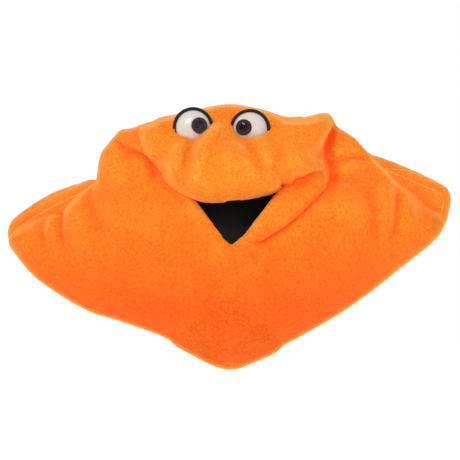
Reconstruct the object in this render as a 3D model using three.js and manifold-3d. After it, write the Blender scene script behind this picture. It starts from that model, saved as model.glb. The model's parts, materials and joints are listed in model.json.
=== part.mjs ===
// A moving-mouth hand puppet: a square plush pillow stood on one corner, with a mouth across its middle.
// The upper corner folds back over the puppeteer's hand, so the pillow becomes a head with two wings and a chin.
// Millimetres, +Z up, the face looks along -Y. The origin is under the middle of the puppet, at its lowest point.
import * as THREE from "three";
import { mergeVertices } from "three/addons/utils/BufferGeometryUtils.js";
import Module from "manifold-3d";

const wasm = await Module();
wasm.setup();

// ---- Driving dimensions -------------------------------------------------------------------------------------

const WING_SPAN = 486;
const HEIGHT = 290;
const DEPTH = 240;
const SKIN = 3; // plush fabric with its pile pressed flat
const GAP = 0.5; // clearance between neighbouring pieces

const HINGE = { y: -25, z: 208 }; // the line through both mouth corners, along X
const UPPER_JAW = { bottom: -17, top: 85 }; // degrees above straight ahead, seen from the hinge
const UPPER_TRAVEL = { close: 8, open: 20 };
const LOWER_JAW_SLOPE = 48; // degrees below straight ahead
const LOWER_TRAVEL = { close: 20, open: 18 };
const SPARE_ANGLE = 1.5; // what stays free past either end of a jaw's travel

const MOUTH = { halfWidth: 42, depth: 70, lining: 1.5, board: 3 };
const FINGER_POCKET = { halfWidth: 42, length: 65, height: 25, wall: 1.2 };
const THUMB_POCKET = { halfWidth: 17, length: 50, height: 24, wall: 1.2 };
const PALM = { halfWidth: 46, front: 0, back: 78, bottom: 166, top: 232, bend: 46, wall: 1.5 };
const SLEEVE = { y: 45, radius: 36, bottom: 104, top: 165, wall: 1.5 };
const CUFF = { bottom: 92, outer: 43, inner: 34.5 };

const EYES = {
  left: { x: -38.5, z: 266, gaze: 1 },
  right: { x: 22.5, z: 264, gaze: -1 },
};
const EYE = { y: -67, tilt: 12, radius: 18.5, bulge: 12.5, lid: 1.5 };
const IRIS = { offset: 6.5, turn: 18, seat: -9, radius: 8.6, thick: 2.5, pupil: 4.6, dome: 4 };
const STEM = { radius: 2.4, length: 21 };
const WASHER = { radius: 9, thick: 2, at: 16 };
const SEAT = { radius: 19.5, thick: 2 };

// ---- Stuffed forms: an outline in XZ, domed to the front and to the back -------------------------------------

const half = WING_SPAN / 2;
const ROLL = 0.075; // the right wing stands higher than the left, by this slope
const TUCK = 22; // how far the bottom corner lies behind the belly
const wingSweep = (x, z) => 88 * Math.abs(x / half) ** 1.6 + TUCK * Math.max(0, (165 - z) / 165) ** 2;
const CROWN_DROOP = 46; // how far the back corner hangs below the crown
const crownDrop = (y) => CROWN_DROOP * Math.max(0, y / (DEPTH / 2)) ** 2;

// The lower half of the pillow with its two wings, which sweep back.
const LOWER = {
  centre: [0, -50, 165],
  halfWidth: half,
  up: 106,
  down: 165,
  front: 48,
  back: 44,
  corner: 1.25,
  fullness: 1,
  sides: 36,
  rings: 14,
  bend: (x, y, z) => [x, y + wingSweep(x, z), z + ROLL * x],
};
// The dome over the hand.
const DOME = {
  centre: [0, 0, 205],
  halfWidth: 147,
  up: HEIGHT - 4 - 205,
  down: 55,
  front: 75,
  back: 60,
  corner: 2.3,
  fullness: 0.8,
  sides: 28,
  rings: 12,
};
// The brow behind the eyes, the highest part of the head.
const BROW = {
  centre: [-6, 0, 240],
  halfWidth: 84,
  up: HEIGHT - 240,
  down: 50,
  front: 66,
  back: 45,
  corner: 2.3,
  fullness: 0.55,
  sides: 28,
  rings: 10,
};
// The upper corner of the pillow, lying back over the hand. Its outline is horizontal and its corner droops.
const CROWN = {
  centre: [0, 0, 222],
  halfWidth: 146,
  up: DEPTH / 2,
  down: 40,
  front: 60,
  back: 58,
  corner: 1.35,
  fullness: 0.8,
  sides: 32,
  rings: 12,
  lying: true,
  bend: (x, y, z) => [x, y, z - crownDrop(y)],
};
// The snout, which carries the upper lip.
const SNOUT = {
  centre: [3, -50, 222],
  halfWidth: 98,
  up: 40,
  down: 46,
  front: DEPTH / 2 - 50,
  back: 40,
  corner: 2,
  fullness: 1,
  sides: 28,
  rings: 12,
};

function pillowGeometry(form, inset = 0) {
  const geometry = new THREE.SphereGeometry(1, form.sides, form.rings);
  const points = geometry.getAttribute("position");
  const [cx, cy, cz] = form.centre;
  const bend = form.bend ?? ((x, y, z) => [x, y, z]);
  for (let i = 0; i < points.count; i++) {
    const x = points.getX(i);
    const y = points.getY(i);
    const z = points.getZ(i);
    const spread = Math.hypot(x, z);
    let across = 0;
    let along = 0;
    if (spread > 1e-6) {
      const reach = (z > 0 ? form.up : form.down) - inset;
      const sum =
        Math.abs(x / spread / (form.halfWidth - inset)) ** form.corner +
        Math.abs(z / spread / reach) ** form.corner;
      const radius = sum ** (-1 / form.corner) * spread ** form.fullness;
      across = (x / spread) * radius;
      along = (z / spread) * radius;
    }
    const thickness = (y < 0 ? form.front : form.back) - inset;
    const through = Math.sign(y) * thickness * Math.abs(y) ** form.fullness;
    const [px, py, pz] = form.lying ? [across, along, -through] : [across, through, along];
    points.setXYZ(i, ...bend(cx + px, cy + py, cz + pz));
  }
  return geometry;
}

// ---- Solids and booleans ------------------------------------------------------------------------------------

function solidOf(geometry) {
  const bare = geometry.clone();
  bare.deleteAttribute("normal");
  bare.deleteAttribute("uv");
  const merged = mergeVertices(bare, 1e-3);
  return new wasm.Manifold(
    new wasm.Mesh({
      numProp: 3,
      vertProperties: new Float32Array(merged.getAttribute("position").array),
      triVerts: new Uint32Array(merged.index.array),
    }),
  );
}

function geometryOf(solid) {
  const mesh = solid.getMesh();
  const positions = new Float32Array(mesh.numVert * 3);
  for (let i = 0; i < mesh.numVert; i++) {
    positions.set(mesh.vertProperties.subarray(i * mesh.numProp, i * mesh.numProp + 3), i * 3);
  }
  const geometry = new THREE.BufferGeometry();
  geometry.setAttribute("position", new THREE.BufferAttribute(positions, 3));
  geometry.setIndex(new THREE.BufferAttribute(mesh.triVerts, 1));
  geometry.computeVertexNormals();
  return geometry;
}

// Of the bodies that a cut leaves, the largest: the others are slivers.
function largest(solid) {
  return solid.decompose().reduce((best, body) => (body.volume() > best.volume() ? body : best));
}

function join(...solids) {
  return solids.reduce((all, solid) => all.add(solid));
}

function cut(solid, ...tools) {
  return tools.reduce((left, tool) => left.subtract(tool), solid);
}

function box(x0, x1, y0, y1, z0, z1) {
  const geometry = new THREE.BoxGeometry(x1 - x0, y1 - y0, z1 - z0);
  return solidOf(geometry.translate((x0 + x1) / 2, (y0 + y1) / 2, (z0 + z1) / 2));
}

// A round bar along X, Y or Z.
function bar(axis, radius, from, to, centre = [0, 0, 0], segments = 24) {
  const geometry = new THREE.CylinderGeometry(radius, radius, to - from, segments);
  geometry.translate(0, (from + to) / 2, 0);
  if (axis === "x") geometry.rotateZ(-Math.PI / 2);
  if (axis === "z") geometry.rotateX(Math.PI / 2);
  return solidOf(geometry.translate(...centre));
}

// A profile drawn in the YZ plane, carried sideways to both sides of the middle.
function across(profile, halfWidth, curveSegments = 8) {
  const options = { depth: 2 * halfWidth, bevelEnabled: false, curveSegments };
  const geometry = new THREE.ExtrudeGeometry(profile, options).translate(0, 0, -halfWidth);
  const turn = new THREE.Matrix4().set(0, 0, 1, 0, 1, 0, 0, 0, 0, 1, 0, 0, 0, 0, 0, 1);
  return solidOf(geometry.applyMatrix4(turn));
}

// A wedge about the hinge line, between two angles above straight ahead.
function wedge(fromDegrees, toDegrees, halfWidth, radius = 400) {
  const shape = new THREE.Shape();
  shape.moveTo(HINGE.y, HINGE.z);
  const steps = Math.ceil((toDegrees - fromDegrees) / 30);
  for (let i = 0; i <= steps; i++) {
    const angle = THREE.MathUtils.degToRad(fromDegrees + ((toDegrees - fromDegrees) * i) / steps);
    shape.lineTo(HINGE.y - Math.cos(angle) * radius, HINGE.z + Math.sin(angle) * radius);
  }
  return across(shape, halfWidth);
}

// ---- Materials ----------------------------------------------------------------------------------------------

function material(color, roughness, metalness = 0) {
  return new THREE.MeshStandardMaterial({ color, roughness, metalness });
}

const plush = material(0xff7d1c, 0.95);
const mouthFelt = material(0x14110f, 0.95);
const cotton = material(0xe8a060, 0.9);
const fibrefill = material(0xf2f0ea, 1);
const board = material(0x77746e, 0.8);
const webbing = material(0xd9691a, 0.85);
const eyeWhite = material(0xf1ebe4, 0.35);
const eyeLid = material(0x1a1614, 0.7);
const irisBrown = material(0x3a1a14, 0.15);
const pupilBlack = material(0x0a0808, 0.1);
const clearPlastic = material(0xf4f4f4, 0.05);
const nylon = material(0xdcdcd6, 0.5);

function part(name, solid, look) {
  const mesh = new THREE.Mesh(geometryOf(largest(solid)), look);
  mesh.name = name;
  return mesh;
}

// ---- Spaces kept clear inside the pillow ---------------------------------------------------------------------

const headSweep = wedge(
  UPPER_JAW.bottom - UPPER_TRAVEL.close - SPARE_ANGLE,
  UPPER_JAW.top + UPPER_TRAVEL.open + SPARE_ANGLE,
  DOME.halfWidth + 2,
);
const JAW_HALF_WIDTH = 46;
const CHIN_REACH = 99; // from the hinge to the outside of the lower lip
const CHIN_SECTOR = 26; // degrees of stuffing under the lower palate
const chinRoom = JAW_HALF_WIDTH + 3;
const chinSweep = wedge(
  -(LOWER_JAW_SLOPE + CHIN_SECTOR + LOWER_TRAVEL.open + SPARE_ANGLE),
  0,
  chinRoom,
).intersect(bar("x", CHIN_REACH + 1, -chinRoom - 1, chinRoom + 1, [0, HINGE.y, HINGE.z], 48));
const palmSpace = palmSolid(-GAP, 60, 26);
const sleeveSpace = bar("z", SLEEVE.radius + GAP, CUFF.bottom - 20, PALM.bottom, [0, SLEEVE.y, 0], 32);
const staticHollow = join(headSweep, chinSweep, palmSpace, sleeveSpace);

// The bag round the palm and the bent wrist, shrunk by inset, with its floor and its front moved out.
function palmSolid(inset, floorDrop = 0, frontReach = 0) {
  const top = PALM.top - inset;
  const back = PALM.back - inset;
  const bottom = PALM.bottom + inset - floorDrop;
  const front = PALM.front + inset - frontReach;
  const profile = new THREE.Shape();
  profile.moveTo(front, bottom);
  profile.lineTo(back, bottom);
  profile.lineTo(back, top - PALM.bend);
  profile.quadraticCurveTo(back, top, back - PALM.bend, top);
  profile.lineTo(front, top);
  profile.closePath();
  return across(profile, PALM.halfWidth - inset);
}

// ---- The pillow: plush panels and their stuffing --------------------------------------------------------------

function stuffedBody(forms, inset) {
  return join(...forms.map((form) => solidOf(pillowGeometry(form, inset))));
}

// Everything in front of the seam that runs round the edge of the lower pillow.
function inFrontOfSeam(offset) {
  const geometry = new THREE.BoxGeometry(WING_SPAN + 20, 1, HEIGHT + 20, 24, 1, 8);
  const points = geometry.getAttribute("position");
  for (let i = 0; i < points.count; i++) {
    const x = points.getX(i);
    const z = points.getZ(i) + HEIGHT / 2;
    const y = points.getY(i) < 0 ? -DEPTH : LOWER.centre[1] + wingSweep(x, z) + offset;
    points.setXYZ(i, x, y, z);
  }
  return solidOf(geometry);
}

// Everything above the seam that runs round the edge of the crown, as far out as the head's sides.
function aboveCrownSeam(halfWidth, offset) {
  const geometry = new THREE.BoxGeometry(2 * halfWidth, 2 * DEPTH, 1, 1, 48, 1);
  const points = geometry.getAttribute("position");
  for (let i = 0; i < points.count; i++) {
    const y = points.getY(i);
    const z = points.getZ(i) > 0 ? HEIGHT + 10 : CROWN.centre[2] - Math.min(crownDrop(y), 90) + offset;
    points.setXYZ(i, points.getX(i), y, z);
  }
  return solidOf(geometry);
}

function pillowParts() {
  const forms = [LOWER, DOME, BROW, CROWN];
  const skin = cut(stuffedBody(forms, 0), stuffedBody(forms, SKIN), staticHollow);
  const stuffing = cut(stuffedBody(forms, SKIN + GAP), staticHollow);
  const front = skin.intersect(inFrontOfSeam(-GAP / 2));
  const behind = cut(skin, inFrontOfSeam(GAP / 2));

  const headSide = DOME.halfWidth + 4; // the wings stand beyond this
  const handFront = 12; // the crown's stuffing starts here, and the wings' stuffing ends
  const side = PALM.halfWidth + 4;
  const span = half + 10;
  const leftHalf = join(
    box(-span, -side, -DEPTH, handFront - GAP, -10, HEIGHT),
    box(-span, -headSide - GAP, -DEPTH, DEPTH, -10, HEIGHT),
  );
  const rightHalf = join(
    box(side, span, -DEPTH, handFront - GAP, -10, HEIGHT),
    box(headSide + GAP, span, -DEPTH, DEPTH, -10, HEIGHT),
  );
  const bellyRoom = box(-side + GAP, side - GAP, -DEPTH, handFront - GAP, -10, PALM.bottom - 20);
  const crownRoom = box(-headSide, headSide, handFront, DEPTH, 0, HEIGHT);
  return [
    part("lower_front_panel", front, plush),
    part("back_panel", cut(behind, aboveCrownSeam(headSide, -GAP / 2)), plush),
    part("crown_panel", behind.intersect(aboveCrownSeam(headSide - GAP, GAP / 2)), plush),
    part("left_wing_filling", stuffing.intersect(leftHalf), fibrefill),
    part("right_wing_filling", stuffing.intersect(rightHalf), fibrefill),
    part("belly_filling", stuffing.intersect(bellyRoom), fibrefill),
    part("crown_filling", stuffing.intersect(crownRoom), fibrefill),
  ];
}

// ---- The arm opening: cuff, sleeve and palm lining -------------------------------------------------------------

function ring(outer, inner, from, to) {
  const at = [0, SLEEVE.y, 0];
  return cut(bar("z", outer, from, to, at, 32), bar("z", inner, from - 1, to + 1, at, 32));
}

function armParts() {
  const { halfWidth, front, bottom, top, wall } = PALM;
  const wrist = bar("z", SLEEVE.radius - SLEEVE.wall, bottom - 1, bottom + 5, [0, SLEEVE.y, 0], 32);
  const open = box(-halfWidth + wall, halfWidth - wall, front - 1, front + 2 * wall, bottom + wall, top - wall);
  return [
    part("cuff_hem", ring(CUFF.outer, CUFF.inner, CUFF.bottom, SLEEVE.bottom - GAP), webbing),
    part(
      "arm_sleeve",
      ring(SLEEVE.radius, SLEEVE.radius - SLEEVE.wall, SLEEVE.bottom, SLEEVE.top),
      cotton,
    ),
    part("palm_lining", cut(palmSolid(0), palmSolid(wall), open, wrist), cotton),
  ];
}

// ---- The mouth: two boards folded about a tape hinge -----------------------------------------------------------

// A plate with its straight edge by the hinge, at y = -near, and a rounded nose at y = -far. Tip sets how blunt it is.
function palate(near, far, halfWidth, tip, from, to) {
  const shape = new THREE.Shape();
  shape.moveTo(-halfWidth, -near);
  shape.bezierCurveTo(-halfWidth, -(near + far) / 2, -tip, -far, 0, -far);
  shape.bezierCurveTo(tip, -far, halfWidth, -(near + far) / 2, halfWidth, -near);
  shape.closePath();
  const geometry = new THREE.ExtrudeGeometry(shape, { depth: to - from, bevelEnabled: false, curveSegments: 8 });
  return solidOf(geometry.translate(0, 0, from));
}

// A fabric pocket, open towards the wrist.
function pocket(form, near, from) {
  const w = form.halfWidth;
  const t = form.wall;
  const outside = box(-w, w, -near - form.length, -near, from, from + form.height);
  const inside = box(-w + t, w - t, -near - form.length + t, -near + 1, from + t, from + form.height - t);
  return cut(outside, inside);
}

const TAPE_RADIUS = 2.5;
const NEAR = TAPE_RADIUS + 1.5; // where the palates start, off the hinge line
const LINING_AT = 0.4; // the linings' mouth faces stand this far off the plane through the hinge
const BOARD_AT = LINING_AT + MOUTH.lining + 0.3;
const POCKET_AT = BOARD_AT + MOUTH.board + 0.3;

function upperJawGroup() {
  const group = new THREE.Group();
  group.position.set(0, HINGE.y, HINGE.z);
  const { halfWidth, depth } = MOUTH;
  const lining = palate(NEAR, depth + NEAR, halfWidth, halfWidth * 0.8, LINING_AT, LINING_AT + MOUTH.lining);
  const plate = palate(NEAR + 1, depth, halfWidth - 2, halfWidth * 0.75, BOARD_AT, BOARD_AT + MOUTH.board);
  group.add(
    part("upper_mouth_lining", lining, mouthFelt),
    part("upper_palate_board", plate, board),
    part("finger_pocket", pocket(FINGER_POCKET, NEAR + 2, POCKET_AT), cotton),
  );
  return group;
}

const LOWER_LENGTH = 92; // hinge to the lower lip
const LIP_TIP = 14;

function lowerJawGroup() {
  const group = new THREE.Group();
  group.position.set(0, HINGE.y, HINGE.z);
  group.rotation.x = THREE.MathUtils.degToRad(LOWER_JAW_SLOPE);
  const { halfWidth } = MOUTH;
  const liningTop = -LINING_AT;
  const boardTop = -BOARD_AT;
  const pocketTop = -POCKET_AT;
  const lining = palate(NEAR, LOWER_LENGTH, halfWidth, LIP_TIP, liningTop - MOUTH.lining, liningTop);
  const plateEnd = LOWER_LENGTH - 6;
  const plate = palate(NEAR + 1, plateEnd, halfWidth - 2, LIP_TIP - 1, boardTop - MOUTH.board, boardTop);
  const thumb = pocket(THUMB_POCKET, NEAR + 6, pocketTop - THUMB_POCKET.height);
  const thumbRoom = box(
    -THUMB_POCKET.halfWidth - GAP,
    THUMB_POCKET.halfWidth + GAP,
    -NEAR - 6 - THUMB_POCKET.length - GAP,
    0,
    -LOWER_LENGTH,
    pocketTop,
  );
  const sector = cut(chinSector(JAW_HALF_WIDTH), box(-90, 90, -30, 90, -120, 60));
  const stuffed = sector.intersect(bar("x", LOWER_LENGTH, -90, 90, [0, 0, 0], 48));
  const aboveBoard = box(-90, 90, -120, 90, pocketTop + GAP, 60);
  const bare = cut(bar("x", LOWER_LENGTH + GAP, -90, 90, [0, 0, 0], 48), aboveBoard);
  const covered = sector.intersect(bar("x", LOWER_LENGTH + GAP + SKIN, -90, 90, [0, 0, 0], 48));
  const opening = palate(NEAR, LOWER_LENGTH + GAP, halfWidth + GAP, LIP_TIP + 1, pocketTop, 5);
  group.add(
    part("lower_mouth_lining", lining, mouthFelt),
    part("lower_palate_board", plate, board),
    part("thumb_pocket", thumb, cotton),
    part("chin_filling", cut(stuffed, box(-90, 90, -120, 90, pocketTop, 60), thumbRoom), fibrefill),
    part("lower_lip_panel", cut(covered, bare, opening), plush),
  );
  return group;
}

// The wedge of space under the lower palate, in the lower jaw's own frame.
function chinSector(halfWidth) {
  return wedge(-CHIN_SECTOR, 0, halfWidth).translate([0, -HINGE.y, -HINGE.z]);
}

// ---- The eyes ----------------------------------------------------------------------------------------------

function lathe(profile, segments = 24) {
  return solidOf(new THREE.LatheGeometry(profile.map(([r, h]) => new THREE.Vector2(r, h)), segments));
}

// A domed cap whose flat face is at height 0 and whose top is at height rise.
function capProfile(radius, rise, steps = 6) {
  const profile = [[0, 0]];
  for (let i = 0; i <= steps; i++) {
    const angle = (i / steps) * (Math.PI / 2);
    profile.push([i === steps ? 0 : radius * Math.cos(angle), rise * Math.sin(angle)]);
  }
  return profile;
}

// Turns a solid so that the lathe's +Y looks along -Y, which is out of the face.
function facing(solid) {
  return solid.rotate([0, 0, 180]);
}

// The iris stands on the white, nearer the nose than its middle. Gaze is +1 if the nose lies towards +X.
function irisFrame(solid, gaze) {
  return solid.rotate([0, 0, gaze * IRIS.turn]).translate([gaze * IRIS.offset, IRIS.seat, 0]);
}

function eyeGroup(side) {
  const place = EYES[side];
  const group = new THREE.Group();
  group.position.set(place.x, EYE.y, place.z);
  group.rotation.x = -THREE.MathUtils.degToRad(EYE.tilt);
  const onIris = (solid) => irisFrame(facing(solid), place.gaze);
  const irisTop = IRIS.thick + 0.3;
  const stemHole = onIris(bar("y", STEM.radius + 0.3, -STEM.length - 5, 1));
  const irisPocket = onIris(bar("y", IRIS.radius + 0.3, 0, 40));
  const white = cut(facing(lathe(capProfile(EYE.radius, EYE.bulge), 32)), irisPocket, stemHole);
  const irisDisc = join(bar("y", IRIS.radius, 0.3, irisTop), bar("y", STEM.radius, -STEM.length, 1));
  const iris = cut(irisDisc, bar("y", IRIS.pupil + 0.3, irisTop - 1, irisTop + 5));
  const pupil = bar("y", IRIS.pupil, irisTop - 0.7, irisTop);
  const lens = lathe(capProfile(IRIS.radius, IRIS.dome)).translate([0, irisTop + 0.3, 0]);
  const washer = bar("y", WASHER.radius, -WASHER.at - WASHER.thick, -WASHER.at);
  const seat = bar("y", SEAT.radius, -SEAT.thick - 0.3, -0.3, [0, 0, 0], 32);
  const lidRadius = EYE.radius + EYE.lid + 0.3;
  const lidArc = new THREE.EllipseCurve(0, 0, lidRadius, lidRadius, -0.1, Math.PI + 0.1);
  const lidPath = new THREE.CatmullRomCurve3(
    lidArc.getPoints(16).map((p) => new THREE.Vector3(p.x, -EYE.lid - 0.5, p.y)),
  );
  const lidSection = new THREE.Shape().absarc(0, 0, EYE.lid, 0, Math.PI * 2);
  const lid = solidOf(
    new THREE.ExtrudeGeometry(lidSection, { steps: 20, extrudePath: lidPath, bevelEnabled: false, curveSegments: 5 }),
  );
  group.add(
    part(`${side}_eye_white`, white, eyeWhite),
    part(`${side}_eye_lid_cord`, lid, eyeLid),
    part(`${side}_eye_seat`, cut(facing(seat), stemHole), mouthFelt),
    part(`${side}_eye_iris`, onIris(iris), irisBrown),
    part(`${side}_eye_pupil`, onIris(pupil), pupilBlack),
    part(`${side}_eye_lens`, onIris(lens), clearPlastic),
    part(`${side}_eye_lock_washer`, cut(onIris(washer), stemHole), nylon),
  );
  return group;
}

// What the head is cut away by, so that an eye and its washer have room.
function eyeSpace(side) {
  const place = EYES[side];
  const onIris = (solid) => irisFrame(facing(solid), place.gaze);
  const rim = EYE.radius + 2 * EYE.lid + 1;
  const socket = facing(lathe(capProfile(rim, EYE.bulge + 4), 32));
  const seat = facing(bar("y", rim, -0.7 - SEAT.thick, 0.1, [0, 0, 0], 32));
  const iris = onIris(bar("y", IRIS.radius + 1, 0, 12));
  const behind = onIris(bar("y", WASHER.radius + 1, -STEM.length - 2, 0));
  return join(socket, seat, iris, behind)
    .rotate([-EYE.tilt, 0, 0])
    .translate([place.x, EYE.y, place.z]);
}

// ---- The head: the snout and brow, which lift with the fingers ---------------------------------------------------

function headParts() {
  const forms = [DOME, BROW, SNOUT];
  const eyeSpaces = join(eyeSpace("left"), eyeSpace("right"));
  const reach = HINGE.y - MOUTH.depth - NEAR - GAP;
  const w = MOUTH.halfWidth + 1;
  const mouthVoid = box(-w, w, reach, 60, HINGE.z - 60, HINGE.z + POCKET_AT + FINGER_POCKET.height + GAP);
  const front = wedge(UPPER_JAW.bottom, UPPER_JAW.top, DOME.halfWidth);
  const skin = cut(stuffedBody(forms, 0), stuffedBody(forms, SKIN), eyeSpaces, mouthVoid).intersect(front);
  const stuffing = cut(stuffedBody(forms, SKIN + GAP), eyeSpaces, mouthVoid).intersect(front);
  return [part("head_panel", skin, plush), part("snout_filling", stuffing, fibrefill)];
}

// ---- The puppet --------------------------------------------------------------------------------------------

const puppet = new THREE.Group();
puppet.add(...pillowParts(), ...armParts(), ...headParts());
puppet.add(upperJawGroup(), lowerJawGroup());
puppet.add(eyeGroup("left"), eyeGroup("right"));
puppet.add(
  part(
    "mouth_hinge_tape",
    bar("x", TAPE_RADIUS, -MOUTH.halfWidth, MOUTH.halfWidth, [0, HINGE.y, HINGE.z], 12),
    webbing,
  ),
);

export default puppet;
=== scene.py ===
"""The looks of a moving mouth puppet: an orange plush pillow with a black-lined mouth and domed eyes.

The stuffed forms are sculpted in millimetres on a block of voxels, where each form is a field of distances
from its surface. Cloth pieces are cut from those surfaces, given a thickness, and laid in the frame.
"""
import json
import math

import bpy
import numpy as np
import openvdb
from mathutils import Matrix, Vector, kdtree


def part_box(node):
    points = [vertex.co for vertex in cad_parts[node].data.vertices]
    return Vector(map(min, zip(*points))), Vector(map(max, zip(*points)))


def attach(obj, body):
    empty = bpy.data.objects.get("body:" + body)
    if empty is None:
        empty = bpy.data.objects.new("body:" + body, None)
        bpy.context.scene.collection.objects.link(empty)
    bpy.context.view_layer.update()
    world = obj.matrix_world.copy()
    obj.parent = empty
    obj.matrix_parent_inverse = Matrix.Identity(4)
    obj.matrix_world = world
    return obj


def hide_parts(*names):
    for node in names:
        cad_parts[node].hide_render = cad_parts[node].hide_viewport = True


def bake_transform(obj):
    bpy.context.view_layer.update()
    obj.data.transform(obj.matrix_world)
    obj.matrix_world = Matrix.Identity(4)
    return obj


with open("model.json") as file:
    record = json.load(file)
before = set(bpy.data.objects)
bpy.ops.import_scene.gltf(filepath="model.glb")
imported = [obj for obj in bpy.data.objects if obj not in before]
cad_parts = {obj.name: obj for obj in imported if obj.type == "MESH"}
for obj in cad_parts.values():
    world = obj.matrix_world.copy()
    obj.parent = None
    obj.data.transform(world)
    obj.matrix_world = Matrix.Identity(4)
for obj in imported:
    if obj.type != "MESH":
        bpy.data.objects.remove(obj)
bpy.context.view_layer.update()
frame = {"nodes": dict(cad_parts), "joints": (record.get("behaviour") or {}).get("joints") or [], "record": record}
MM = 0.001

# ---- Places taken from the frame, in millimetres -------------------------------------------------


def box_mm(node):
    """A node's box in millimetres, as its low and high corner."""
    low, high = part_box(node)
    return np.array(low) / MM, np.array(high) / MM


def joint(name):
    return next(j for j in frame["joints"] if j["name"] == name)


HALF_SPAN = box_mm("lower_front_panel")[1][0]
SNOUT_FRONT = box_mm("head_panel")[0][1]
CROWN_BACK = box_mm("crown_panel")[1][1]
TOP = max(box_mm("head_panel")[1][2], box_mm("crown_panel")[1][2])
HINGE_Y, HINGE_Z = (value / MM for value in joint("upper_jaw_lift")["pos_m"][1:])
SLEEVE_LOW, SLEEVE_HIGH = box_mm("arm_sleeve")
SLEEVE_RADIUS = (SLEEVE_HIGH[0] - SLEEVE_LOW[0]) / 2
SLEEVE_Y = (SLEEVE_LOW[1] + SLEEVE_HIGH[1]) / 2
EYE_CENTRES = {side: sum(box_mm(f"{side}_eye_seat")) / 2 for side in ("left", "right")}

ROLL = 0.075  # the right wing stands higher than the left, by this slope
LOWER_FRONT = -50  # where the pillow's middle plane stands at the face
CROWN_HEIGHT = 222  # of the crown's middle, before it comes down
JAW_SLOPE = math.radians(48)  # of the lower palate, below straight ahead
CLOTH = 2.4  # thickness of the plush
FELT = 1.2  # thickness of the mouth's felt

# Outlines seen from the front, as (x, z). The body's run clockwise from the bottom corner, the snout's the
# other way round.
LOWER_EDGE_LEFT = [(-8, 4), (-68, 33), (-124, 52), (-160, 63), (-212, 94), (-238, 121)]
LOWER_EDGE_RIGHT = [(234, 142), (200, 115), (138, 69), (82, 37), (28, 11)]
HEAD_LEFT = [(-146, 206), (-142, 225), (-133, 245), (-118, 261), (-90, 268)]
HEAD_MIDDLE = [(-52, 275), (-3, 285), (32, 280), (66, 271)]
HEAD_RIGHT = [(104, 278), (112, 276), (121, 267), (136, 253), (150, 239)]
HEAD_TOP = HEAD_LEFT + HEAD_MIDDLE + HEAD_RIGHT
LEFT_RIDGE = [(-247, 139), (-228, 155), (-203, 166), (-184, 172), (-168, 187), (-154, 200)]
RIGHT_RIDGE = [(158, 231), (172, 218), (189, 201), (206, 190), (222, 175), (239, 163)]
FRONT_OUTLINE = LOWER_EDGE_LEFT + LEFT_RIDGE + HEAD_TOP + RIGHT_RIDGE + LOWER_EDGE_RIGHT
LEFT_WING_TOP = [(-250, 139), (-247, 157), (-225, 173), (-207, 184), (-189, 193), (-160, 205)]
RIGHT_WING_TOP = [(162, 233), (185, 225), (207, 216), (234, 204), (250, 193), (249, 172)]
WHOLE_OUTLINE = LOWER_EDGE_LEFT + LEFT_WING_TOP + HEAD_TOP + RIGHT_WING_TOP + LOWER_EDGE_RIGHT
SNOUT_LEFT = [(-95, 278), (-89, 246), (-77, 212), (-66, 199), (-34, 182)]
SNOUT_LIP = [(-8, 180), (30, 186), (68, 198), (94, 214)]
SNOUT_RIGHT = [(104, 220), (103, 229), (99, 238), (103, 252), (108, 266), (113, 281)]
SNOUT_OUTLINE = [(80, 300), (-80, 300)] + SNOUT_LEFT + SNOUT_LIP + SNOUT_RIGHT

# ---- The block of voxels -------------------------------------------------------------------------

VOXEL = 3.0
MARGIN = 12
LOW = np.array([-HALF_SPAN - MARGIN, SNOUT_FRONT - MARGIN, -MARGIN])
HIGH = np.array([HALF_SPAN + MARGIN, CROWN_BACK + MARGIN, TOP + MARGIN])
COUNT = np.ceil((HIGH - LOW) / VOXEL).astype(int) + 1
X, Y, Z = np.meshgrid(*(LOW[i] + VOXEL * np.arange(COUNT[i]) for i in range(3)), indexing="ij")
X, Y, Z = (axis.astype(np.float32) for axis in (X, Y, Z))
FACE_X, FACE_Z = X[:, 0, :], Z[:, 0, :]


def smooth_step(t):
    """Rises gently from 0 to 1 while t goes from 0 to 1."""
    t = np.clip(t, 0, 1)
    return t * t * (3 - 2 * t)


def between(value, start, end):
    """0 up to start and 1 from end on, with a gentle rise from one to the other."""
    return smooth_step((value - start) / (end - start))


def wing_sweep(x, z):
    """How far the wings and the foot of the pillow lean back."""
    return 88 * np.abs(x / HALF_SPAN) ** 1.6 + 22 * np.clip((165 - z) / 165, 0, 1) ** 2


def middle_plane(x, z):
    """How far back the front pillow's middle stands: the wings, the bottom and the head lean back."""
    return LOWER_FRONT + wing_sweep(x, z - ROLL * x) + 32 * between(z, 150, 255)


def crown_drop(y):
    """How far the crown has come down, on its way to the back."""
    return 46 * np.clip(y / CROWN_BACK, 0, 2) ** 2


def distance_of(level):
    """Turns a field that is 1 on a surface and grows outwards into a distance, true near the surface."""
    slope = np.sqrt(sum(g * g for g in np.gradient(level, VOXEL)))
    return np.clip((level - 1) / np.maximum(slope, 1e-3), -80, 80)


def ring_through(corners, steps=6):
    """A closed smooth curve (Catmull-Rom) through the corners."""
    points = np.array(corners, float)
    before, after, beyond = (np.roll(points, shift, axis=0) for shift in (1, -1, -2))
    ring = []
    for t in np.arange(steps) / steps:
        ring.append(
            points
            + 0.5 * t * (after - before)
            + 0.5 * t**2 * (2 * before - 5 * points + 4 * after - beyond)
            + 0.5 * t**3 * (3 * points - before - 3 * after + beyond)
        )
    return np.stack(ring, axis=1).reshape(-1, 2)


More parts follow.
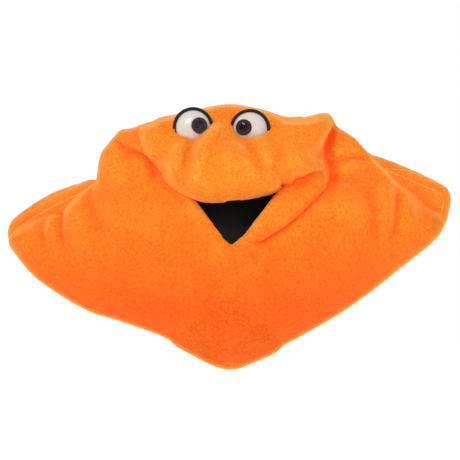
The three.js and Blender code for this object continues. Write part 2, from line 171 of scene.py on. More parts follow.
def line_gap(line, x, z):
    """Distance from each (x, z) to a line of points, and how far along the line its nearest point is."""
    gap = np.full(np.shape(x), 1e6)
    place = np.zeros(np.shape(x))
    count = len(line) - 1
    for i, (a, b) in enumerate(zip(line, line[1:])):
        dx, dz = b[0] - a[0], b[1] - a[1]
        t = np.clip(((x - a[0]) * dx + (z - a[1]) * dz) / (dx * dx + dz * dz), 0, 1)
        here = np.hypot(x - a[0] - t * dx, z - a[1] - t * dz)
        place = np.where(here < gap, (i + t) / count, place)
        gap = np.minimum(gap, here)
    return gap, place


def blurred(solid, reach):
    """A block averaged over a cube, two times over."""
    width = 2 * int(round(reach / VOXEL)) + 1
    for _ in range(2):
        for axis in np.nonzero(np.array(solid.shape) > 1)[0]:
            padded = np.concatenate(
                [np.repeat(np.take(solid, [0], axis), width // 2 + 1, axis), solid,
                 np.repeat(np.take(solid, [-1], axis), width // 2, axis)], axis,
            )
            total = np.cumsum(padded, axis=axis, dtype=np.float64)
            size = solid.shape[axis]
            after = np.take(total, range(width, width + size), axis)
            solid = (after - np.take(total, range(size), axis)) / width
    return solid


def depth_inside(corners):
    """How deep each (x, z) of the block lies inside a closed outline."""
    ring = ring_through(corners)
    closed = np.vstack([ring, ring[:1]])
    gap, _ = line_gap(closed, FACE_X, FACE_Z)
    inside = np.zeros(FACE_X.shape, bool)
    for a, b in zip(closed, closed[1:]):
        crosses = (a[1] > FACE_Z) != (b[1] > FACE_Z)
        rise = b[1] - a[1] if b[1] != a[1] else 1.0
        inside ^= crosses & (FACE_X < a[0] + (FACE_Z - a[1]) / rise * (b[0] - a[0]))
    depth = np.where(inside, gap, -gap)[:, None, :]
    return depth + (blurred(depth, 15) - depth) * between(depth, 12, 36)


def stuffed(depth, through, rim, front, back):
    """A stuffed form inside an outline, at its full thickness from rim inwards."""
    edge = np.clip(1 - depth / rim, 0, None)
    thickness = np.where(through < 0, front, back)
    return distance_of((edge**2.0 + np.abs(through / thickness) ** 2.0) ** 0.5)


FULLNESS = 2.5  # power of a pillow's section: 2 is round, more is flatter in the middle


def pillow(across, along, through, width, up, down, front, back, corner):
    """A stuffed form: a superelliptic outline, domed to the front (through < 0) and to the back."""
    reach = np.where(along > 0, up, down)
    outline = (np.abs(across / width) ** corner + np.abs(along / reach) ** corner) ** (1 / corner)
    thickness = np.where(through < 0, front, back)
    level = (outline**FULLNESS + np.abs(through / thickness) ** FULLNESS) ** (1 / FULLNESS)
    return distance_of(level)


def ball(centre, radii):
    """An ellipsoid, as a distance."""
    level = sum(((axis - c) / r) ** 2 for axis, c, r in zip((X, Y, Z), centre, radii))
    return distance_of(np.sqrt(level))


def tube(points, radii):
    """A round tube through points, its radius changing from one to the next."""
    nearest = np.full_like(X, 80)
    for (a, b), (ra, rb) in zip(zip(points, points[1:]), zip(radii, radii[1:])):
        a, b = np.array(a, float), np.array(b, float)
        d = b - a
        t = ((X - a[0]) * d[0] + (Y - a[1]) * d[1] + (Z - a[2]) * d[2]) / (d @ d)
        t = np.clip(t, 0, 1)
        gap = np.sqrt(sum((axis - a[i] - t * d[i]) ** 2 for i, axis in enumerate((X, Y, Z))))
        nearest = np.minimum(nearest, gap - (ra + t * (rb - ra)))
    return nearest


def union(a, b, soft):
    """Two forms joined, with a fillet of about soft millimetres."""
    h = np.clip(0.5 + 0.5 * (b - a) / soft, 0, 1)
    return b * (1 - h) + a * h - soft * h * (1 - h)


def intersection(a, b, soft):
    return -union(-a, -b, soft)


def without(a, b, soft):
    return -union(-a, b, soft)


def folds(strokes):
    """Height of soft ridges and valleys drawn on the front."""
    height = np.zeros(FACE_X.shape)
    for line, width, rise in strokes:
        gap, place = line_gap(line, FACE_X, FACE_Z)
        fade = np.minimum(1, 5 * np.minimum(place, 1 - place) + 0.25)
        height += rise * fade * np.exp(-((gap / width) ** 2))
    return height[:, None, :]


# ---- The stuffed forms ---------------------------------------------------------------------------


def front_pillow():
    """The pillow from wing to wing, fullest at the belly, its edge steeper towards the brow."""
    rim = 85 - 40 * between(Z[:, :1, :], 150, 250)
    belly = 48 + 6 * np.exp(-(((Z - 110) / 60) ** 2) - (X / 130) ** 2)
    return stuffed(depth_inside(FRONT_OUTLINE), Y - middle_plane(X, Z), rim, belly, 44)


def back_pillow():
    """A flatter pillow behind the first, out to the edge of the wings."""
    return stuffed(depth_inside(WHOLE_OUTLINE), Y - middle_plane(X, Z) - 24, 60, 36, 36)


def dome():
    """The brow, rounded over the hand."""
    return pillow(X, Z - 205, Y + 4, 142, TOP - 218, 55, 50, 54, 2.3)


def crown():
    """The pillow's upper corner, lying back and down over the hand."""
    height = Z - CROWN_HEIGHT + crown_drop(Y)
    return pillow(X, Y, -height, 142, CROWN_BACK, 40, 58, 52, 1.35)


def snout():
    """Fullest over the lip, thinning to nothing under the eyes and less so beside them."""
    middle = -34 + 0.0016 * X**2
    beside_eyes = between(np.abs(X + 8), 45, 78)
    least = 12 + 30 * beside_eyes
    reach = least + (85 - least) * (1 - between(Z, 226, 286))
    reach = reach - 14 * between(np.abs(X - 4), 20, 95)
    rim = 36 - 12 * between(Z, 200, 250)
    return stuffed(depth_inside(SNOUT_OUTLINE), Y - middle, rim, reach, 40)


EYE_LID_DROP = {"left": 4, "right": 10}  # how far below the eye's middle the plush leaves it free
EYE_WIDTH, EYE_RISE = 19.5, 19  # how far beside and above its middle


def eye_windows():
    """The room the plush leaves free in front of each eye."""
    rooms = []
    for side, c in EYE_CENTRES.items():
        reach = np.where(Z > c[2], EYE_RISE, EYE_LID_DROP[side])
        level = np.sqrt(((X - c[0]) / EYE_WIDTH) ** 2 + ((Z - c[2]) / reach) ** 2)
        rooms.append(intersection(distance_of(level), Y + 62, 2))
    return np.minimum(*rooms)


def eye_mounds():
    """The plush that swells up behind each eye."""
    mounds = [ball((c[0], -46, c[2] - 1), (20, 19, 18)) for c in EYE_CENTRES.values()]
    return np.minimum(*mounds)


def arm_room():
    """Where the sleeve hangs: a bore in the crown's underside and a shallow groove in the back."""
    beside = np.hypot(X, Y - SLEEVE_Y) - SLEEVE_RADIUS - 1.5
    return np.maximum(np.maximum(beside, Z - SLEEVE_HIGH[2] - 6), SLEEVE_LOW[2] - 16 - Z)


def below_seam(x, y, z):
    """Over zero on the lower front panel and the back panel, under zero on the head and the crown panel."""
    over_left_shoulder = 2 - y
    across_right_cheek = 236 - 0.17 * (y + 62) - z
    front = over_left_shoulder + (across_right_cheek - over_left_shoulder) * between(x, -92, -80)
    return np.maximum(front, CROWN_HEIGHT - crown_drop(y) - z)


LOWER_PALATE = 97  # from the hinge to the lower lip's middle
UPPER_PALATE = 64  # from the hinge to the back of the upper lip's roll


def mouth_for_lower(x, y, z):
    """Everything over the lower palate, as a distance."""
    radius = np.hypot(y - HINGE_Y, z - HINGE_Z)
    below_ahead = np.arctan2(HINGE_Z - z, HINGE_Y - y)
    over = (below_ahead - JAW_SLOPE) * np.minimum(radius, 60)
    ahead = (HINGE_Y - y) * math.cos(JAW_SLOPE) + (HINGE_Z - z) * math.sin(JAW_SLOPE)
    share = np.clip(ahead / LOWER_PALATE, 0, 1)
    left = 66 * (1 - share) ** 0.85 + 2
    right = 62 * (1 - share**1.3) ** 0.77 + 8
    side = np.maximum(x - right, -left - x) * 0.85
    side = intersection(side, ahead - LOWER_PALATE, 6)
    return intersection(intersection(over, side, 5), y - HINGE_Y - 2, 4)


def mouth_for_upper(x, y, z):
    """Everything under the upper palate, as a distance."""
    under = z - HINGE_Z - 1
    share = np.clip((HINGE_Y - y) / UPPER_PALATE, 0, 1)
    open_part = (1 - share**2) ** 0.5
    side = np.maximum(x - 45 * open_part, -50 * open_part - x)
    side = intersection(side, HINGE_Y - y - UPPER_PALATE, 6)
    return intersection(intersection(under, side, 8), y - HINGE_Y - 2, 4)


# Folds drawn on the front: a line of (x, z), its half width, and its height, under zero for a valley.
BODY_FOLDS = [
    ([(116, 278), (111, 262), (106, 248), (105, 236), (110, 222), (112, 208), (106, 194)], 9, -18),
    ([(120, 236), (124, 218), (122, 202)], 12, -7),
    ([(112, 234), (135, 233), (160, 229)], 3, -3),
    ([(130, 260), (143, 245), (157, 231), (171, 214), (189, 198)], 8, 4),
    ([(124, 214), (140, 205), (152, 190), (159, 170), (157, 140)], 12, -7),
    ([(112, 180), (132, 178), (146, 160)], 14, 6),
    ([(186, 198), (184, 170), (180, 146)], 6, -6),
    ([(200, 196), (214, 182), (223, 154)], 5, -4),
    ([(172, 206), (169, 180), (168, 154)], 8, 6),
    ([(196, 184), (200, 160)], 7, 4),
    ([(-124, 254), (-112, 242), (-100, 238)], 8, -6),
    ([(-125, 262), (-112, 254), (-98, 248), (-88, 240)], 5, 5),
    ([(-101, 243), (-90, 236), (-84, 224), (-80, 208)], 6, -8),
    ([(-134, 246), (-128, 226), (-114, 202)], 12, 5),
    ([(-203, 168), (-207, 158), (-206, 140)], 5, -5),
    ([(-184, 172), (-186, 158), (-183, 136)], 5, -4.5),
    ([(-195, 168), (-196, 146)], 6, 4),
    ([(-172, 184), (-170, 160), (-160, 130)], 10, 4),
    ([(-152, 200), (-150, 180), (-140, 150)], 9, -5),
    ([(22, 146), (38, 150), (62, 164), (94, 192), (106, 207)], 5, -13),
    ([(8, 141), (16, 133), (30, 128)], 5, -6),
    ([(0, 139), (2, 130), (10, 121)], 5, -6),
    ([(12, 126), (26, 118), (40, 116)], 8, 2.5),
    ([(-14, 134), (-8, 122)], 8, 3),
]
SNOUT_FOLDS = [
    ([(-10, 270), (-23, 252), (-31, 231), (-37, 200)], 6, 6),
    ([(-34, 262), (-42, 240), (-46, 214)], 7, -7),
    ([(-48, 250), (-54, 236), (-59, 216)], 5, 5),
    ([(-70, 254), (-70, 234), (-64, 214)], 9, -5),
    ([(4, 257), (19, 244), (30, 230), (39, 215)], 6, -9),
    ([(22, 258), (37, 241), (47, 226)], 6, 4),
    ([(45, 228), (52, 216), (56, 202)], 5, -6),
    ([(-88, 268), (-87, 252), (-83, 236)], 6, 4),
    ([(72, 208), (82, 213), (94, 221)], 6, -4),
    ([(-3, 272), (-2, 246), (0, 214)], 16, 4),
    ([(66, 262), (84, 244), (92, 226)], 12, -4),
    ([(50, 240), (58, 224), (76, 212)], 12, -7),
]
FRONT_SIDE = between(Y, 20, -15)

BODY = union(front_pillow(), back_pillow(), 5)
BODY = union(BODY, dome(), 14)
BODY = union(BODY, crown(), 16)
BODY = union(BODY, eye_mounds(), 8)
BODY = intersection(BODY, -depth_inside(WHOLE_OUTLINE), 5)
BODY = without(BODY, arm_room(), 6)
BODY = BODY - folds(BODY_FOLDS) * FRONT_SIDE
SNOUT = intersection(snout(), -depth_inside(WHOLE_OUTLINE) + 3, 8)
SNOUT = SNOUT - folds(SNOUT_FOLDS) * FRONT_SIDE
LIP_BAND = tube(
    [(92, -50, 207), (84, -56, 200), (68, -69, 189), (50, -80, 177), (29, -89, 161), (12, -94, 150)],
    [12, 14, 16, 17, 14, 9],
)

# The head passes into the body without a crease along its top and over the left shoulder.
SOFT_TOP = np.maximum(between(Z, 250, 272), between(Z, 226, 248) * between(-X, 58, 80))
HEAD = union(BODY, SNOUT, 3 + 16 * SOFT_TOP)
UPPER = without(HEAD, mouth_for_upper(X, Y, Z), 7)
UPPER = without(UPPER, eye_windows(), 4)
LOWER = union(BODY, LIP_BAND, 5)

# Over the left shoulder the lower skin follows the head, just inside it.
LEFT_SHOULDER = between(Z, 232, 250) * between(-X, 66, 84)
LOWER = LOWER + (HEAD + 0.5 - LOWER) * LEFT_SHOULDER
LOWER = without(LOWER, mouth_for_lower(X, Y, Z), 7)

# ---- From fields to meshes -----------------------------------------------------------------------


def surface_of(field, voxel):
    """Points and quads where the field is zero."""
    grid = openvdb.FloatGrid(80.0)
    grid.copyFromArray(field.astype(np.float64))
    points, quads = grid.convertToQuads(0.0)
    return np.array(points, float) * voxel + LOW, np.array(quads, int)[:, ::-1]


def sample(field, points):
    """The field's value at each point, by linear interpolation."""
    place = np.clip((points - LOW) / VOXEL, 0, COUNT - 1.001)
    cell = place.astype(int)
    part = place - cell
    value = 0
    for corner in range(8):
        step = np.array([corner & 1, (corner >> 1) & 1, corner >> 2])
        weight = np.prod(np.where(step, part, 1 - part), axis=1)
        value = value + weight * field[tuple((cell + step).T)]
    return value


SMALLEST_PATCH = 20  # quads


class Skin:
    """Points and quads of a surface, from which cloth pieces are cut."""

    def __init__(self, field, voxel=VOXEL):
        self.points, self.quads = surface_of(field, voxel)

    def normals(self):
        a, b, c, d = (self.points[self.quads[:, i]] for i in range(4))
        face = np.cross(c - a, d - b)
        total = np.zeros_like(self.points)
        for i in range(4):
            np.add.at(total, self.quads[:, i], face)
        return total / np.maximum(np.linalg.norm(total, axis=1, keepdims=True), 1e-9)

    def relax(self, rounds):
        """Evens out the quads, each point moving towards its neighbours' middle."""
        edges = np.concatenate([self.quads[:, [i, (i + 1) % 4]] for i in range(4)])
        edges = np.unique(np.sort(edges, axis=1), axis=0)
        degree = np.bincount(edges.ravel(), minlength=len(self.points))[:, None]
        for _ in range(rounds):
            total = np.zeros_like(self.points)
            np.add.at(total, edges[:, 0], self.points[edges[:, 1]])
            np.add.at(total, edges[:, 1], self.points[edges[:, 0]])
            self.points += 0.5 * (total / np.maximum(degree, 1) - self.points)

    def crop(self, level):
        """Keeps where level(points) is over zero, with the cut edge moved on to level zero."""
        value = level(self.points)
        keep = value[self.quads].mean(axis=1) > 0
        lost = np.unique(self.quads[~keep])
        kept = np.unique(self.quads[keep])
        edge = np.intersect1d(lost, kept)
        step = 0.5
        normal = self.normals()[edge]
        for _ in range(4):
            here = self.points[edge]
            now = level(here)
            slope = np.stack(
                [(level(here + step * axis) - level(here - step * axis)) / (2 * step) for axis in np.eye(3)],
                axis=1,
            )
            slope -= (slope * normal).sum(axis=1, keepdims=True) * normal
            size = np.maximum((slope**2).sum(axis=1, keepdims=True), 0.05)
            move = -now[:, None] * slope / size
            length = np.maximum(np.linalg.norm(move, axis=1, keepdims=True), 1e-9)
            self.points[edge] = here + move * np.minimum(1, VOXEL / length)
        return self.part(keep)

    def part(self, keep):
        """A new skin of the quads kept, without loose crumbs."""
        quads = self.quads[keep]
        label = np.arange(len(self.points))
        while True:
            lowest = label[quads].min(axis=1)
            before = label.copy()
            for i in range(4):
                np.minimum.at(label, quads[:, i], lowest)
            label = label[label]
            if (label == before).all():
                break
        face_label = label[quads[:, 0]]
        names, counts = np.unique(face_label, return_counts=True)
        quads = quads[np.isin(face_label, names[counts >= SMALLEST_PATCH])]
        used, flat = np.unique(quads.ravel(), return_inverse=True)
        piece = Skin.__new__(Skin)
        piece.points = self.points[used]
        piece.quads = flat.reshape(-1, 4)
        return piece


def new_object(name, points, faces, smooth=True):
    mesh = bpy.data.meshes.new(name)
    mesh.from_pydata(np.asarray(points, float).tolist(), [], [list(map(int, f)) for f in faces])
    mesh.polygons.foreach_set("use_smooth", [smooth] * len(mesh.polygons))
    mesh.update()
    obj = bpy.data.objects.new(name, mesh)
    bpy.context.scene.collection.objects.link(obj)
    return obj


def apply_modifiers(obj):
    evaluated = obj.evaluated_get(bpy.context.evaluated_depsgraph_get())
    mesh = bpy.data.meshes.new_from_object(evaluated)
    obj.modifiers.clear()
    obj.data = mesh


# How much of the space round each voxel is filled: over a half in a fold, under it on a ridge.
# The plush material paints shade and a glow into folds and a highlight on ridges from this.
CAVITY = blurred(np.clip(0.5 - np.minimum(UPPER, LOWER) / VOXEL, 0, 1), 9)


def cloth_piece(name, skin, thickness, material):
    """A sheet of cloth whose outside is the skin."""
    obj = new_object(name, skin.points * MM, skin.quads)
    hollow = obj.data.attributes.new("hollow", "FLOAT", "POINT")
    hollow.data.foreach_set("value", sample(CAVITY, skin.points).astype(np.float32))
    obj.data.materials.append(material)
    solid = obj.modifiers.new("thickness", "SOLIDIFY")
    solid.thickness = thickness * MM
    solid.offset = -1
    solid.use_even_offset = False
    apply_modifiers(obj)
    sides = 2 * len(skin.quads)  # outside and inside; the faces after them are the rim
    count = len(obj.data.polygons)
    obj.data.polygons.foreach_set("use_smooth", [i < sides for i in range(count)])
    return obj


# ---- Materials -----------------------------------------------------------------------------------


class Shader:
    """A node tree with a few shorthands."""

    def __init__(self, name):
        self.material = bpy.data.materials.new(name)
        self.material.use_nodes = True
        self.tree = self.material.node_tree
        self.principled = self.tree.nodes["Principled BSDF"]
        self.place = self.node("ShaderNodeTexCoord").outputs["Object"]

    def node(self, kind, **values):
        made = self.tree.nodes.new(kind)
        for key, value in values.items():
            setattr(made, key, value)
        return made

    def link(self, source, target):
        self.tree.links.new(source, target)

    def noise(self, scale, detail=2.0, roughness=0.5):
        made = self.node("ShaderNodeTexNoise")
        made.inputs["Scale"].default_value = scale
        made.inputs["Detail"].default_value = detail
        made.inputs["Roughness"].default_value = roughness
        self.link(self.place, made.inputs["Vector"])
        return made.outputs["Fac"]

    def ramp(self, source, stops):
        made = self.node("ShaderNodeValToRGB")
        elements = made.color_ramp.elements
        while len(elements) < len(stops):
            elements.new(0.5)
        for element, (position, colour) in zip(elements, stops):
            element.position = position
            element.color = (*colour, 1)
        self.link(source, made.inputs["Fac"])
        return made.outputs["Color"]

    def mix(self, first, second, amount, mode="MIX"):
        made = self.node("ShaderNodeMix", data_type="RGBA", blend_type=mode)
        for socket, value in ((made.inputs[6], first), (made.inputs[7], second)):
            if isinstance(value, tuple):
                socket.default_value = (*value, 1)
            else:
                self.link(value, socket)
        if isinstance(amount, float):
            made.inputs["Factor"].default_value = amount
        else:
            self.link(amount, made.inputs["Factor"])
        return made.outputs[2]

    def bump(self, height, strength, distance, below=None):
        made = self.node("ShaderNodeBump")
        made.inputs["Strength"].default_value = strength
        made.inputs["Distance"].default_value = distance
        self.link(height, made.inputs["Height"])
        if below is not None:
            self.link(below, made.inputs["Normal"])
        return made.outputs["Normal"]

    def set(self, **inputs):
        for key, value in inputs.items():
            socket = self.principled.inputs[key.replace("_", " ")]
            if hasattr(value, "links"):
                self.link(value, socket)
            else:
                socket.default_value = value


def plush_material(name, foot, head):
    """Orange plush, redder at the foot, yellower at the head; folds, ridges and rim carry painted shade and light.
    """
    s = Shader(name)
    tuft = s.noise(460, 4.0, 0.7)
    patch = s.noise(30, 2.0, 0.5)
    fibre = s.noise(1400, 2.0, 0.6)
    height = s.node("ShaderNodeSeparateXYZ")
    s.link(s.place, height.inputs["Vector"])
    rise = s.node("ShaderNodeMapRange")
    rise.inputs["From Min"].default_value = 0.07
    rise.inputs["From Max"].default_value = 0.18
    s.link(height.outputs["Z"], rise.inputs["Value"])
    colour = s.mix(foot, head, rise.outputs["Result"])
    hollow = s.node("ShaderNodeAttribute", attribute_name="hollow")
    # Painted shade: the folds turn deep red.
    painted_fold_shade = s.ramp(hollow.outputs["Fac"], [(0.58, (0, 0, 0)), (0.84, (1, 1, 1))])
    colour = s.mix(colour, (0.95, 0.1, 0.015), painted_fold_shade)
    # Painted highlight: the ridges turn lighter and yellower.
    painted_ridge_highlight = s.ramp(hollow.outputs["Fac"], [(0.28, (0.5,) * 3), (0.46, (0, 0, 0))])
    colour = s.mix(colour, (1.0, 0.42, 0.06), painted_ridge_highlight)
    colour = s.mix(colour, s.ramp(patch, [(0.35, (0.94, 0.88, 0.8)), (0.65, (1, 1, 1))]), 1.0, "MULTIPLY")
    colour = s.mix(colour, s.ramp(tuft, [(0.34, (0.82, 0.46, 0.28)), (0.6, (1, 1, 1))]), 0.9, "MULTIPLY")
    # Painted sheen: a pale yellow rim where the surface turns away from the view.
    facing = s.node("ShaderNodeLayerWeight")
    facing.inputs["Blend"].default_value = 0.3
    rim = s.ramp(facing.outputs["Facing"], [(0.35, (0, 0, 0)), (1.0, (0.9,) * 3)])
    colour = s.mix(colour, (1.0, 0.56, 0.14), rim)
    clump = s.noise(170, 3.0, 0.6)
    colour = s.mix(colour, s.ramp(clump, [(0.35, (0.97, 0.84, 0.7)), (0.6, (1, 1, 1))]), 0.8, "MULTIPLY")
    normal = s.bump(tuft, 0.8, 0.002, s.bump(fibre, 0.5, 0.001, s.bump(clump, 0.5, 0.003)))
    s.set(Base_Color=colour, Roughness=0.95, Normal=normal, Sheen_Weight=0.2, Sheen_Roughness=0.4)
    s.set(Sheen_Tint=(1.0, 0.5, 0.15, 1), Specular_IOR_Level=0.05)
    # Painted glow: deep folds give off a little orange light, though nothing there is a lamp.
    painted_fold_glow = s.ramp(hollow.outputs["Fac"], [(0.5, (0, 0, 0)), (0.85, (0.3,) * 3)])
    s.set(Emission_Color=(1.0, 0.11, 0.01, 1), Emission_Strength=painted_fold_glow)
    return s.material


def pile_material(name):
    """The fibres of the pile, their tips painted lighter and yellower than their roots as a highlight."""
    s = Shader(name)
    info = s.node("ShaderNodeHairInfo")
    shade = s.ramp(info.outputs["Random"], [(0.0, (0.85, 0.09, 0.008)), (1.0, (1.0, 0.28, 0.03))])
    # Painted highlight: towards the tip each fibre turns pale yellow, a halo of light round the plush.
    along = s.ramp(info.outputs["Intercept"], [(0.3, (0, 0, 0)), (1.0, (1, 1, 1))])
    painted_tip_highlight = s.mix(shade, (1.0, 0.7, 0.3), along)
    s.set(Base_Color=painted_tip_highlight, Roughness=0.9, Specular_IOR_Level=0.1, Sheen_Weight=0.3)
    return s.material


def felt_material(name, colour):
    """Matt felt, mottled by its fibres."""
    s = Shader(name)
    fibre = s.noise(900, 4.0, 0.7)
    shade = s.ramp(fibre, [(0.3, tuple(0.6 * c for c in colour)), (0.7, tuple(1.5 * c for c in colour))])
    s.set(Base_Color=shade, Roughness=0.95, Normal=s.bump(fibre, 0.5, 0.0008), Sheen_Weight=0.15)
    s.set(Specular_IOR_Level=0.1)
    return s.material


def woven_material(name, colour, threads):
    """Plain weave, its threads this many to the metre."""
    s = Shader(name)
    waves = []
    for direction in ("X", "Z"):
        wave = s.node("ShaderNodeTexWave", bands_direction=direction)
        wave.inputs["Scale"].default_value = threads * math.pi / 10
        wave.inputs["Distortion"].default_value = 0.6
        s.link(s.place, wave.inputs["Vector"])
        waves.append(wave.outputs["Fac"])
    weave = s.mix(waves[0], waves[1], 0.5)
    shade = s.ramp(weave, [(0.2, tuple(0.72 * c for c in colour)), (0.8, colour)])
    s.set(Base_Color=shade, Roughness=0.85, Normal=s.bump(weave, 0.4, 0.0006), Sheen_Weight=0.2)
    return s.material


def fibre_material(name, colour):
    """Loose fibre stuffing."""
    s = Shader(name)
    wisps = s.noise(260, 6.0, 0.75)
    shade = s.ramp(wisps, [(0.3, tuple(0.8 * c for c in colour)), (0.7, colour)])
    s.set(Base_Color=shade, Roughness=1.0, Normal=s.bump(wisps, 0.9, 0.004), Sheen_Weight=0.4)
    return s.material


def plastic_material(name, colour, roughness, coat=0.0, haze=0.04):
    """Moulded plastic, with faint marks that darken it by haze."""
    s = Shader(name)
    marks = s.noise(500, 3.0)
    shade = s.ramp(marks, [(0.3, tuple((1 - haze) * c for c in colour)), (0.7, colour)])
    s.set(Base_Color=shade, Roughness=roughness, Coat_Weight=coat, Coat_Roughness=0.05)
    s.set(Normal=s.bump(marks, 0.03, 0.0002))
    return s.material


def lens_material(name):
    """Clear plastic with a thin haze of scratches."""
    s = Shader(name)
    haze = s.ramp(s.noise(600, 3.0), [(0.4, (0.14,) * 3), (0.8, (0.2,) * 3)])
    s.set(Base_Color=(0.02, 0.015, 0.015, 1), Roughness=0.1, Alpha=haze, IOR=1.6)
    return s.material


def iris_material(name):
    """Dark brown, finely mottled."""
    s = Shader(name)
    streak = s.noise(700, 4.0, 0.7)
    shade = s.ramp(streak, [(0.3, (0.022, 0.007, 0.006)), (0.7, (0.075, 0.024, 0.02))])
    s.set(Base_Color=shade, Roughness=0.6, Specular_IOR_Level=0.2)
    return s.material


PLUSH = plush_material("orange_plush", (0.8, 0.134, 0.013), (0.95, 0.285, 0.025))
PILE = pile_material("pile")
MOUTH_FELT = felt_material("mouth_felt", (0.012, 0.010, 0.009))
LINING = woven_material("cotton_lining", (0.85, 0.36, 0.12), 1000)
WEBBING = woven_material("webbing", (0.85, 0.16, 0.015), 900)
FIBRE = fibre_material("fibrefill", (0.9, 0.88, 0.84))
TAPE = woven_material("black_tape", (0.016, 0.014, 0.013), 900)
BOARD = plastic_material("palate_board", (0.03, 0.028, 0.026), 0.6)
EYE_WHITE = plastic_material("eye_white", (0.56, 0.5, 0.45), 0.32, 0.3, 0.02)
EYE_LID = felt_material("eye_lid", (0.014, 0.012, 0.011))
IRIS = iris_material("iris_brown")
PUPIL = felt_material("pupil_black", (0.003, 0.002, 0.002))
LENS = lens_material("lens_clear")
NYLON = plastic_material("nylon", (0.75, 0.75, 0.72), 0.5)

# ---- Baking each piece's place into its mesh -----------------------------------------------------


def bend_with(obj):
    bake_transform(obj)


# ---- The plush skin ------------------------------------------------------------------------------

HIDDEN_MARGIN = 24  # cloth carries on this deep behind a neighbour before it is cut off


def snout_leads(points):
    """Over zero where the snout's surface, not the body's, is the outer one."""
    return sample(BODY, points) - sample(SNOUT, points)


COARSE = 2  # voxels to a quad of the simulated cloth
SHRINK = 2  # the cloth starts this much inside the form it fills
MOST_MOVE = 4  # that the simulation may push a point, in millimetres


def inflate(field):
    """Lets air pressure puff the skin of a field, with cloth a little too large for it, so that it puckers.

    Returns the points of a coarse skin and how far each was moved.
    """
    stride = slice(None, None, COARSE)
    coarse = Skin(field[stride, stride, stride] + SHRINK, VOXEL * COARSE)
    coarse.relax(2)
    obj = new_object("puff", coarse.points * MM, coarse.quads)
    settings = obj.modifiers.new("puff", "CLOTH").settings
    settings.quality = 5
    settings.mass = 0.15
    settings.use_pressure = True
    settings.uniform_pressure_force = 4
    settings.shrink_min = -0.03
    settings.tension_stiffness = 40
    settings.bending_stiffness = 0.2
    settings.effector_weights.gravity = 0
    for step in range(1, 21):
        bpy.context.scene.frame_set(step)
    evaluated = obj.evaluated_get(bpy.context.evaluated_depsgraph_get())
    moved = np.array([v.co for v in evaluated.data.vertices]) / MM - coarse.points
    moved -= SHRINK * coarse.normals()
    bpy.context.scene.frame_set(1)
    bpy.data.objects.remove(obj)
    length = np.maximum(np.linalg.norm(moved, axis=1, keepdims=True), 1e-6)
    return coarse.points, moved * np.minimum(1, MOST_MOVE / length)


class Puff:
    """The simulated cloth's moves, to be taken over by finer skins of the same form."""

    def __init__(self, field):
        points, self.moved = inflate(field)
        self.tree = kdtree.KDTree(len(points))
        for i, point in enumerate(points):
            self.tree.insert(point, i)
        self.tree.balance()

    def shift(self, point):
        near = self.tree.find_n(point, 6)
        weight = np.array([1 / (gap + 1) ** 2 for _, _, gap in near])
        return weight @ self.moved[[index for _, index, _ in near]] / weight.sum()

    def apply(self, skin):
        """Moves the points of a skin, leaving the places of the eyes and the mouth as they are."""
        shift = np.array([self.shift(point) for point in skin.points])
        free = between(mouth_gap(skin.points), 4, 16) * between(eye_gap(skin.points), 24, 34)
        skin.points += shift * free[:, None]


def mouth_gap(points):
    """Distance from the open mouth."""
    return np.minimum(mouth_for_lower(*points.T), mouth_for_upper(*points.T))


def eye_gap(points):
    """Distance from the nearer eye's middle."""
    return np.minimum(*(np.linalg.norm(points - c, axis=1) for c in EYE_CENTRES.values()))


PUFF = Puff(np.minimum(UPPER, LOWER))


def skin_within(field, level):
    """The part of a field's surface where level is over zero."""
    skin = Skin(field)
    skin.relax(2)
    return skin.crop(level)


def in_upper_skin(points):
    """Over zero on the head and the crown, and a little way behind the lower skin."""
    ahead = np.maximum(-below_seam(*points.T), snout_leads(points) - 1)
    return np.minimum(ahead, sample(LOWER, points) + HIDDEN_MARGIN)


def in_lower_skin(points):
    """Over zero below the seam, and a little way behind the upper skin."""
    return np.minimum(below_seam(*points.T), sample(UPPER, points) + HIDDEN_MARGIN)


def in_upper_mouth(points):
    """Over zero on the roof of the mouth."""
    return 1.5 - mouth_for_upper(*points.T)


def in_lower_mouth(points):
    """Over zero on the floor of the mouth."""
    return 1.5 - mouth_for_lower(*points.T)


def front_of_seam(points):
    """Over zero in front of the seam that runs round the edge of the lower pillow."""
    return middle_plane(points[:, 0], points[:, 2]) + 4 - points[:, 1]


def arm_hole(points):
    """Over zero where the bore for the sleeve opens into the crown."""
    within = SLEEVE_RADIUS - np.hypot(points[:, 0], points[:, 1] - SLEEVE_Y)
    return np.minimum(within, points[:, 2] - SLEEVE_HIGH[2] + 4)


def copy_of(skin):
    twin = Skin.__new__(Skin)
    twin.points = skin.points.copy()
    twin.quads = skin.quads.copy()
    return twin


def make_skins():
    """The five pieces of cloth that make up the outside and the mouth."""
    upper = skin_within(UPPER, in_upper_skin)
    lower = skin_within(LOWER, in_lower_skin)
    pieces = {
        "plush_upper": (copy_of(upper).crop(lambda p: -in_upper_mouth(p)), CLOTH, PLUSH),
        "mouth_upper": (copy_of(upper).crop(in_upper_mouth), FELT, MOUTH_FELT),
        "mouth_lower": (copy_of(lower).crop(in_lower_mouth), FELT, MOUTH_FELT),
    }
    outside = copy_of(lower).crop(lambda p: -in_lower_mouth(p))
    pieces["plush_lower"] = (copy_of(outside).crop(front_of_seam), CLOTH, PLUSH)
    behind = copy_of(outside).crop(lambda p: -front_of_seam(p))
    pieces["plush_back"] = (behind.crop(lambda p: -arm_hole(p)), CLOTH, PLUSH)
    if PUFF:
        for skin, _, _ in pieces.values():
            PUFF.apply(skin)
    return {name: cloth_piece(name, *what) for name, what in pieces.items()}


SKINS = make_skins()


BARE_LIP = 5  # how near the mouth the pile begins
PILE_DENSITY = 1500000  # fibres to the square metre
PILE_LENGTH = 2.6  # of a fibre, in millimetres


